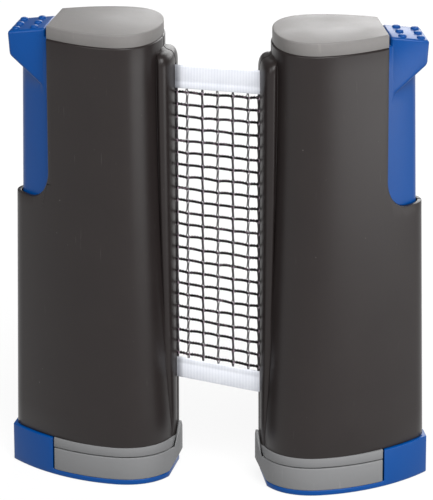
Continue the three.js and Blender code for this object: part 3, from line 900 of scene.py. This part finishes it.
def buildJawPad():
    plate, top, seam, lip = jaws["plate"], jaws["padTop"], jaws["break"] - jaws["seam"], jaws["lip"]
    inner, lipTop = plan["bodyStart"], lip["top"]
    pad = prism("jawPad", padOutline(), plate, lipTop)
    profile = [(jaws["plateStart"], plate), (seam, plate), (seam, top), (inner, top), (inner, lipTop)]
    profile += [(-lip["tip"], lipTop), (-lip["reach"], top), (-lip["reach"], lip["start"])]
    carve(pad, sidePrism("profile", profile), "INTERSECT")
    # seen from the slit the lip is a wedge
    slope = [(lip["halfWidth"], top), (lip["tipHalfWidth"], lipTop)]
    wide = jaws["wedgeReach"]
    wedge = [(-wide, 0), (wide, 0), (wide, top)] + slope
    wedge += [(-x, z) for x, z in reversed(slope)] + [(-wide, top)]
    taper = sidePrism("taper", wedge)
    editAll(taper)
    bpy.ops.transform.rotate(value=math.pi / 2, orient_axis="Z", center_override=(0, 0, 0))
    done()
    carve(pad, taper, "INTERSECT")
    carve(pad, prism("room", closed(insetSide(footSide(), -jaws["room"])), top, jaws["roomTop"]))
    return soften(tidyMesh(pad), jaws["edge"], segments=3, angle=30)


def buildLowerJaw():
    jaw = prism("lowerJaw", closed(footSide()), 0, jaws["plate"])
    cutAtReach(jaw, jaws["plateStart"], keepInner=False)
    corner = prism("corner", closed(footSide()), 0, jaws["top"])
    carve(jaw, cutAtReach(corner, jaws["break"], keepInner=False), "UNION")
    for x in jaws["screws"]:
        drill(jaw, x, screw["seat"], *jaws["screwSeat"])
        drill(jaw, x, screw["hole"], *jaws["screwHole"])
    return soften(tidyMesh(jaw), jaws["edge"], segments=3, angle=40)


masters["upper_jaw"] = buildUpperJaw()
masters["table_pad"] = buildTablePad()
masters["jaw_pad"] = buildJawPad()
masters["lower_jaw"] = buildLowerJaw()
print("jaws made")

slider = {
    "reach": 55.2,
    "inset": 2.6,
    "wall": 2.0,
    "foot": (plan["levels"][0], 20.6),
    "hollowTop": 184.4,
    "capGap": 0.3,
    "screwTop": 21.6,
    "edge": 0.3,
    "tabTop": 211.5,
    "tabStart": 57.7,
    "tabLift": (2.2, -0.2),
    "tabReach": 75.4,
    "tabSide": 200.2,
    "tabFoot": 184.7,
    "tabBend": (7, 9),
    "tabTaper": 0.8,
    "tabHalfDepth": 11.0,
    "tabRound": 1.3,
}
# the dome is each step's share of the width and its rise
dots = {
    "radius": 1.9, "root": 0.5, "wall": 0.33, "dome": ((0.94, 0.3), (0.87, 0.22), (0.75, 0.16), (0.5, 0.1)),
    "rows": 2, "perRow": 3, "middle": 67.8, "rowSpacing": 8.5, "spacing": 7.4, "sides": 24,
}


def tabLevel(x):
    # the top falls away outwards
    start, reach = slider["tabStart"], slider["tabReach"]
    inner, outer = slider["tabLift"]
    return slider["tabTop"] + inner + (outer - inner) * (x - start) / (reach - start)


def tabOutline():
    start, reach, side = slider["tabStart"], slider["tabReach"], slider["tabSide"]
    run, drop = slider["tabBend"]
    low, high = (start, slider["tabFoot"]), (reach - slider["tabTaper"], side)
    lower = [low] + bentAt(low, (start + run, side - drop), high, plan["steps"])
    return lower + [(reach, tabLevel(reach)), (start, tabLevel(start))]


def buildSlider():
    (bottom, floor), depth = slider["foot"], slider["tabHalfDepth"]
    top = cap["bottom"] - slider["capGap"]
    spine = tallPrism("slider", bodyOutline(slider["inset"]), bottom, top, flared)
    cutAtReach(spine, slider["reach"], keepInner=False)
    room = bodyOutline(slider["inset"] + slider["wall"])
    carve(spine, prism("hollow", room, floor, slider["hollowTop"]))
    tab = sidePrism("tab", tabOutline(), -depth, depth)
    carve(spine, roundEdges(tab, slider["tabRound"], 4, 40), "UNION")
    for x in jaws["screws"]:
        drill(spine, x, screw["hole"], high=slider["screwTop"])
    return soften(tidyMesh(spine), slider["edge"], angle=50)


def buildDots():
    made = []
    for row in range(dots["rows"]):
        for spot in range(dots["perRow"]):
            x = dots["middle"] + (row - (dots["rows"] - 1) / 2) * dots["rowSpacing"]
            y = (spot - (dots["perRow"] - 1) / 2) * dots["spacing"]
            low, high = tabLevel(x) - dots["root"], tabLevel(x) + dots["wall"]
            dot = rod("dot", x, y, dots["radius"], low, high, dots["sides"])
            pickFaces(dot, looksUp)
            for share, rise in dots["dome"]:
                extrudeBy(0, 0, rise)
                shrinkAbout(share, x, y)
            done()
            made.append(dot)
    return smooth(joined("dots", made), 50)


masters["thumb_slider"] = buildSlider()
masters["dots"] = buildDots()
print("slider made")


def buildScrew(name, length):
    # stands on its shank with its head on top, the top of the head at z = 0
    head = bevelTop(rod(name, 0, 0, screw["head"], -screw["height"], 0), screw["rim"])
    neck = -screw["height"] + screw["overlap"]
    carve(head, rod("shank", 0, 0, screw["shank"], -length, neck, 24), "UNION")
    half, reach, depth = screw["driveWidth"] / 2, screw["driveReach"], screw["driveDepth"]
    for x, y in ((reach, half), (half, reach)):
        carve(head, block("drive", (-x, -y, -depth), (x, y, screw["driveOver"])))
    return soften(tidyMesh(head), screw["edge"], angle=40)


screws = {}
for index, (x, z) in enumerate(screwSpots()):
    name, top = f"casing_screw_{index + 1}", halfDepthAt(x, z) - screw["sunk"]["casing"]
    screws[name] = buildScrew(name, top + screw["pastSeam"])
    screws[name].data.transform(shifted(x, top, z) @ turned(-90, "X"))
for index, x in enumerate(jaws["screws"]):
    name = f"jaw_screw_{index + 1}"
    screws[name] = buildScrew(name, screw["jawLength"])
    screws[name].data.transform(shifted(x, 0, screw["sunk"]["jaw"]) @ turned(180, "X"))
masters.update(screws)
print("screws made")

spring = {
    "reach": 62.0, "coil": 4.05, "wire": 0.55, "levels": (24.8, 184.1), "pitch": 6.9,
    "sides": 10, "steps": 28,
}


def buildSpring():
    # a coil round the guide rod, its ends ground flat
    (low, high), pitch, steps = spring["levels"], spring["pitch"], spring["steps"]
    start = (spring["coil"], 0, low - pitch)
    coil = wireRing("clamp_spring", spring["sides"], spring["wire"], start, (math.pi / 2, 0, 0))
    useModifier(
        coil, "SCREW", axis="Z", angle=2 * math.pi, screw_offset=pitch * mm, use_smooth_shade=True,
        steps=steps, render_steps=steps, iterations=math.ceil((high - low) / pitch) + 2)
    editAll(coil)
    faceOutwards()
    cutAway(coil, (0, 0, low), (0, 0, 1), keepBelow=False)
    cutAway(coil, (0, 0, high), (0, 0, 1))
    coil.data.transform(shifted(spring["reach"], 0, 0))
    return smooth(coil, 50)


masters["clamp_spring"] = buildSpring()

finish = {
    "front_casing": ("charcoal", "charcoal_plastic", "post"),
    "rear_casing": ("charcoal", "charcoal_plastic", "post"),
    "top_cap": ("capGrey", "grey_plastic", "post"),
    "upper_jaw": ("padGrey", "grey_plastic", "post"),
    "table_pad": ("rubber", "rubber", "post"),
    "jaw_pad": ("padGrey", "grey_plastic", "jaw"),
    "lower_jaw": ("blue", "blue_plastic", "jaw"),
    "thumb_slider": ("blue", "blue_plastic", "jaw"),
    "dots": ("blue", "blue_plastic", "jaw"),
    "clamp_spring": ("steel", "steel", "post"),
}
for screwName in screws:
    finish[screwName] = ("steel", "steel", "post" if screwName.startswith("casing") else "jaw")


def paintWith(target, paint):
    target.data.materials.clear()
    target.data.materials.append(paints[paint])


def putOn(side, part):
    paint, slotName, body = finish[part]
    place = postMatrix(side)
    made = copyOf(masters[part], f"{side}_{part}_piece")
    made.data.transform(place)
    if stand[side]["mirror"]:
        editAll(made)
        bpy.ops.mesh.flip_normals()
        done()
    paintWith(made, paint)
    if part == "clamp_spring":
        low, high = (place @ Vector((spring["reach"] * mm, 0, level * mm)) for level in spring["levels"])
        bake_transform(made)
    else:
        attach(made, f"{side}_{body}")
    if part != "dots":
        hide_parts(f"{side}_{part}")


for side in stand:
    for part in masters:
        putOn(side, part)
for master in masters.values():
    bpy.data.objects.remove(master, do_unlink=True)
print("posts dressed")

# CAD nodes that stay as they are get their finish

kept = {
    "net_lead": "yarn", "spool_axle": "steel", "spool_tube": "natural", "upper_bush": "natural",
    "lower_bush": "natural", "spool_spring": "steel", "spring_anchor": "natural", "net_roll": "yarn",
    "guide_rod": "steel",
}
for side in stand:
    for part, paint in kept.items():
        for held in frame["nodes"][f"{side}_{part}"].material_slots:
            held.material = paints[paint]

# the net; drawn along +x from the left slit, then turned into its place

net = {
    "start": stand["left"]["slit"],
    "turn": netTurn,
    "length": round(math.hypot(*netRun), 2),
    "intoRight": 2.0,
    "stored": (-7.6, -0.8),   # the part in the left nose, squeezed up in front of the roll
    "pullOut": 1660,
    "blendHeight": 120,
    "strands": 23,
    "first": 56.3,
    "pitch": 5.786,
    "strand": {
        "ply": 0.39, "orbit": 0.37, "twist": 2.7, "startTurn": 1.3,
        "sides": 7, "steps": 10,
    },
    "cords": 5,
    "cordPitch": 7.2,
    "closeCords": (1, 3),
    "edgeCords": (0.35, 39.1),
    "ends": (54.0, 185.8),
    # how much higher the lower and the upper edge hang at the left slit and at the right one
    "hang": ((2.0, 0.5), (-1.1, 1.0)),
    "sway": 0.24,
    "arch": 0.34,
    # half the opening of a cord's two threads between the knots and at them, how far they come
    # forward there, their radius, and how much they lean from side to side
    "openCord": {"apart": 0.26, "knot": 0.8, "front": 0.74, "thread": 0.25, "lean": 0.1},
    "closeCord": {"apart": 0.2, "knot": 0.66, "front": 0.72, "thread": 0.31, "lean": -0.08},
    "knotShare": 0.17,   # of a cell
    "back": 0.6,         # how far the other thread goes back, as a share
    "cordSides": 6,
    "cordSteps": 14,
    # the stored net: half a strand, how far it runs past both ends of its place, and half the width
    # that the full pull-out gives a cord
    "storedHalf": 0.45,
    "storedPast": (3, 0.4),
    "storedCord": {"half": 0.27, "depth": 0.3},
}
tapes = {
    "top_tape": {"levels": (185.6, 196.6), "seam": 0.3},
    "bottom_tape": {"levels": (44.2, 54.2), "seam": 0.72},
}
# half its depth, at the sewn line too; the hem's depths and rises; how far below the top the fold
# starts, how high it is, and the angles of its points
tapeForm = {
    "half": 0.65, "sewn": 0.52, "seamWidth": 0.5, "hem": ((0.5, 0.05), (0.62, 0.3)),
    "foldStart": 0.7, "foldHeight": 0.5, "fold": (0.3, 0.7, 1.1, 1.45),
    "stretches": 12, "storedEvery": 6,
}


def intoNet(target):
    (low, high), (left, right) = net["ends"], net["hang"]
    for vertex in target.data.vertices:
        span = max(0, min(1, vertex.co.x / mm / net["length"]))
        share = (vertex.co.z / mm - low) / (high - low)
        lower, upper = (a + (b - a) * span for a, b in zip(left, right))
        vertex.co.z += (lower + (upper - lower) * share) * mm
    target.data.transform(shifted(*net["start"], 0) @ Matrix.Rotation(net["turn"], 4, "Z"))
    return target


def netPoint(s):
    x, y = net["start"]
    place = x + s * math.cos(net["turn"]), y + s * math.sin(net["turn"]), net["blendHeight"]
    return tuple(c * mm for c in place)


def eased(share):
    return share * share * (3 - 2 * share)


def storedAt(distance):
    # where a point lies at rest that the full pull-out carries to this distance from the slit
    first, last = net["stored"]
    low, high = first, last
    for _ in range(40):
        spot = (low + high) / 2
        if spot + net["pullOut"] * eased((spot - first) / (last - first)) < distance:
            low = spot
        else:
            high = spot
    return low


def swayOf(seed):
    # small rises and falls from knot to knot, each span arched a little
    dice = random.Random(seed)
    spans = 11
    knots = [dice.uniform(-1, 1) * net["sway"] for _ in range(spans + 1)]

    def height(s):
        place = (s - net["length"] / 2) / net["cordPitch"] + spans // 2
        index = max(0, min(spans - 1, int(place)))
        share = max(0, min(1, place - index))
        arch = net["arch"] * (math.sin(math.pi * share) ** 0.7 - 0.5) * (1 + knots[index + 1] * 2)
        share = eased(share)
        return knots[index] * (1 - share) + knots[index + 1] * share + arch
    return height


def upTheNet(target, **settings):
    # repeats the lowest strand or cell up to the top row
    return useModifier(
        target, "ARRAY", count=net["strands"], use_relative_offset=False, use_constant_offset=True,
        constant_offset_displace=(0, 0, net["pitch"] * mm), **settings)


def twistedStrand(name, seed):
    # two plies turned round each other
    yarn, first = net["strand"], net["stored"][1]
    ply = wireRing(name, yarn["sides"], yarn["ply"], (0, 0, yarn["orbit"]), (0, math.pi / 2, 0))
    editAll(ply)
    bpy.ops.mesh.duplicate()
    bpy.ops.transform.rotate(value=math.pi, orient_axis="X", center_override=(0, 0, 0))
    bpy.ops.mesh.select_all(action="SELECT")
    bpy.ops.transform.rotate(value=seed * yarn["startTurn"], orient_axis="X", center_override=(0, 0, 0))
    done()
    turns = math.ceil((net["length"] + net["intoRight"] - first) / yarn["twist"])
    useModifier(
        ply, "SCREW", axis="X", angle=2 * math.pi, screw_offset=yarn["twist"] * mm, iterations=turns,
        steps=yarn["steps"], render_steps=yarn["steps"], use_smooth_shade=True)
    height = swayOf(seed)
    for vertex in ply.data.vertices:
        vertex.co.x += first * mm
        vertex.co.z += height(vertex.co.x / mm) * mm
    editAll(ply)
    faceOutwards()
    return ply


def cordCell(cord, hand):
    # one thread over one cell, from the middle of a gap round a knot to the next gap
    apart, steps = cord["apart"], net["cordSteps"]
    thread = wireRing("thread", net["cordSides"], cord["thread"], (hand * apart, 0, 0))
    editAll(thread)
    beforeX, beforeY = hand * apart, 0
    for i in range(1, steps + 1):
        share = i / steps
        bulge = math.exp(-((share - 0.5) / net["knotShare"]) ** 2)
        lean = math.sin(2 * math.pi * share) * cord["lean"]
        x = hand * (apart + (cord["knot"] - apart) * bulge) + lean
        y = -cord["front"] * bulge * (1 if hand > 0 else -net["back"])
        extrudeBy(x - beforeX, y - beforeY, net["pitch"] / steps)
        beforeX, beforeY = x, y
    done()
    return thread


def netCord(cord, s):
    whole = joined("cord", [cordCell(cord, hand) for hand in (1, -1)])
    upTheNet(whole, use_merge_vertices=True, merge_threshold=0.02 * mm)
    # 1 at the knots, 0 between them
    knot = whole.data.attributes.new("knot", "FLOAT", "POINT")
    for vertex, value in zip(whole.data.vertices, knot.data):
        value.value = 0.5 - 0.5 * math.cos(2 * math.pi * vertex.co.z / mm / net["pitch"])
    whole.data.transform(shifted(s, 0, net["first"] - net["pitch"] / 2))
    editAll(whole)
    faceOutwards()
    return smooth(whole, 60)


def alongNet(name, section, places):
    # a section in depth and height, drawn along the net through the places
    ring = outlineFace(name, section, 0)
    for vertex in ring.data.vertices:
        vertex.co = (places[0] * mm, vertex.co.x, vertex.co.y)
    editAll(ring)
    for before, now in zip(places, places[1:]):
        extrudeBy(now - before, 0, 0)
    faceOutwards()
    return ring


def tapeSection(tape):
    # two layers folded over the net's edge and sewn along a line
    (low, high), half = tape["levels"], tapeForm["half"]
    width, fold = tapeForm["seamWidth"], tapeForm["foldHeight"]
    seam = low + (high - low) * tape["seam"]
    side = [(depth, low + rise) for depth, rise in tapeForm["hem"]]
    side += [(half, seam - width), (tapeForm["sewn"], seam), (half, seam + width)]
    side.append((half, high - tapeForm["foldStart"]))
    side += [(half * math.cos(a), high - fold + fold * math.sin(a)) for a in tapeForm["fold"]]
    return side + [(-y, z) for y, z in reversed(side)]


def blended(target):
    first, last = (netPoint(s) for s in net["stored"])
    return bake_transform(target)


def dress(target, paint, slotName, *nodes):
    paintWith(target, paint)
    if nodes:
        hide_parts(*nodes)
    return blended(intoNet(target))


strands = []
for index in range(net["strands"]):
    strand = twistedStrand("strand", index)
    strand.data.transform(shifted(0, 0, net["first"] + index * net["pitch"]))
    strands.append(strand)
dress(smooth(joined("net_strands", strands), 60), "yarn", "black_cord", "net_mesh")

cords = []
for index in range(net["cords"]):
    kind = "closeCord" if index in net["closeCords"] else "openCord"
    s = net["length"] / 2 + (index - (net["cords"] - 1) / 2) * net["cordPitch"]
    cords.append(netCord(net[kind], s))
for s in net["edgeCords"]:
    cords.append(netCord(net["closeCord"], s))
dress(joined("net_cords", cords), "knotted", "black_cord")

# the stored net: plain strands and cords at the places that the pull-out spreads evenly
storedFirst, storedLast = net["stored"]
count = int((net["pullOut"] - storedFirst) / net["cordPitch"]) + 1
pulled = [storedFirst + k * net["cordPitch"] for k in range(count)]
before, after = net["storedPast"]
places = [storedFirst - before] + [storedAt(distance) for distance in pulled] + [storedLast + after]
half = net["storedHalf"]
square = [(-half, -half), (half, -half), (half, half), (-half, half)]
stored = alongNet("net_stored_strands", square, places)
upTheNet(stored)
stored.data.transform(shifted(0, 0, net["first"]))
dress(stored, "yarn", "black_cord")

# each stored cord is as thin as the pull-out needs to draw it out to its own width
half, depth = net["storedCord"]["half"], net["storedCord"]["depth"]
low, high = net["ends"]
pattern = block("cord", (-0.5, -depth, low), (0.5, depth, high))
bars = []
for distance in pulled[1:]:
    near, far = storedAt(distance - half), storedAt(distance + half)
    bar = copyOf(pattern, "bar")
    bar.data.transform(shifted((near + far) / 2, 0, 0) @ Matrix.Diagonal((far - near, 1, 1, 1)))
    bars.append(bar)
bpy.data.objects.remove(pattern, do_unlink=True)
dress(joined("net_stored_cords", bars), "yarn", "black_cord")

# the tapes: one piece shown, and one stored that needs only some of the places
shownLength, stretches = net["length"] + net["intoRight"] - storedLast, tapeForm["stretches"]
ends = [storedLast + shownLength * k / stretches for k in range(stretches + 1)]
coarse = places[::tapeForm["storedEvery"]] + [places[-1]]
for tapeName, tape in tapes.items():
    shown = smooth(alongNet(f"{tapeName}_piece", tapeSection(tape), ends), 50)
    dress(shown, "tape", "white_tape", tapeName)
    flat = ((tape["levels"][1] - tape["levels"][0]) * mm, shownLength * mm)
    wound = smooth(alongNet(f"{tapeName}_stored", tapeSection(tape), coarse), 50)
    dress(wound, "tape", "white_tape")
print("net strung")

# stage and lights

stage = {
    "size": 12, "drop": 0.0002,      # m
    "lit": 0.17, "seen": 0.95,       # how pale the floor is to the lamps and to the eye
    "roughness": 0.9, "specular": 0.1,
    "glow": 0.85, "world": 0.2,
}

pickOnly()
bpy.ops.mesh.primitive_plane_add(size=stage["size"], location=(0, 0, -stage["drop"]))
floor = bpy.context.object
floor.name = "floor"
material, start = newPaint("floor")
tree = material.node_tree
shader = tree.nodes["Principled BSDF"]
shader.inputs["Roughness"].default_value = stage["roughness"]
shader.inputs["Specular IOR Level"].default_value = stage["specular"]
# the eye, and what mirrors or lets through, see a pale floor; the lamps find a darker one
rayKinds = ("Camera", "Glossy", "Transmission")
direct, mirrored, through = (start.node("ShaderNodeLightPath", output=f"Is {kind} Ray") for kind in rayKinds)
seen = start.maths("ADD", direct + mirrored, through, clamp=True)
lit, pale = ([stage[key]] * 3 + [1] for key in ("lit", "seen"))
tree.links.new(seen.mix(lit, pale).socket, shader.inputs["Base Color"])
glow = start.node("ShaderNodeEmission", None, {"Color": (1, 1, 1, 1), "Strength": 1.0})
body = Wire(tree, shader.outputs[0])
mixed = start.node("ShaderNodeMixShader", None, {0: seen * stage["glow"], 1: body, 2: glow})
tree.links.new(mixed.socket, tree.nodes["Material Output"].inputs["Surface"])
floor.data.materials.append(material)

world = bpy.data.worlds.new("studio")
world.use_nodes = True
background = world.node_tree.nodes["Background"]
background.inputs["Color"].default_value = (1, 1, 1, 1)
background.inputs["Strength"].default_value = stage["world"]
bpy.context.scene.world = world

lights = {
    "key": {"place": (0.5, -1.4, 1.6), "size": (1.5, 1.2), "power": 50, "aim": (0, 0, 0.1)},
    "fill": {"place": (-1.2, -1.4, 1.1), "size": (1.2, 1.2), "power": 17, "aim": (0, 0, 0.1)},
    "side": {"place": (0.42, -0.24, 0.09), "size": (0.5, 0.16), "power": 0.95, "aim": (0.08, 0, 0.1)},
    "back": {"place": (0.52, 1.0, 0.6), "size": (1.3, 0.7), "power": 12, "aim": (0.05, 0, 0.2)},
}
for lightName, light in lights.items():
    data = bpy.data.lights.new(lightName, "AREA")
    data.shape = "RECTANGLE"
    data.size, data.size_y = light["size"]
    data.energy = light["power"]
    lamp = bpy.data.objects.new(lightName, data)
    lamp.location = light["place"]
    lamp.rotation_euler = (Vector(light["aim"]) - lamp.location).to_track_quat("-Z", "Y").to_euler()
    bpy.context.scene.collection.objects.link(lamp)
print("stage lit")

bpy.context.scene.view_settings.view_transform = "Standard"
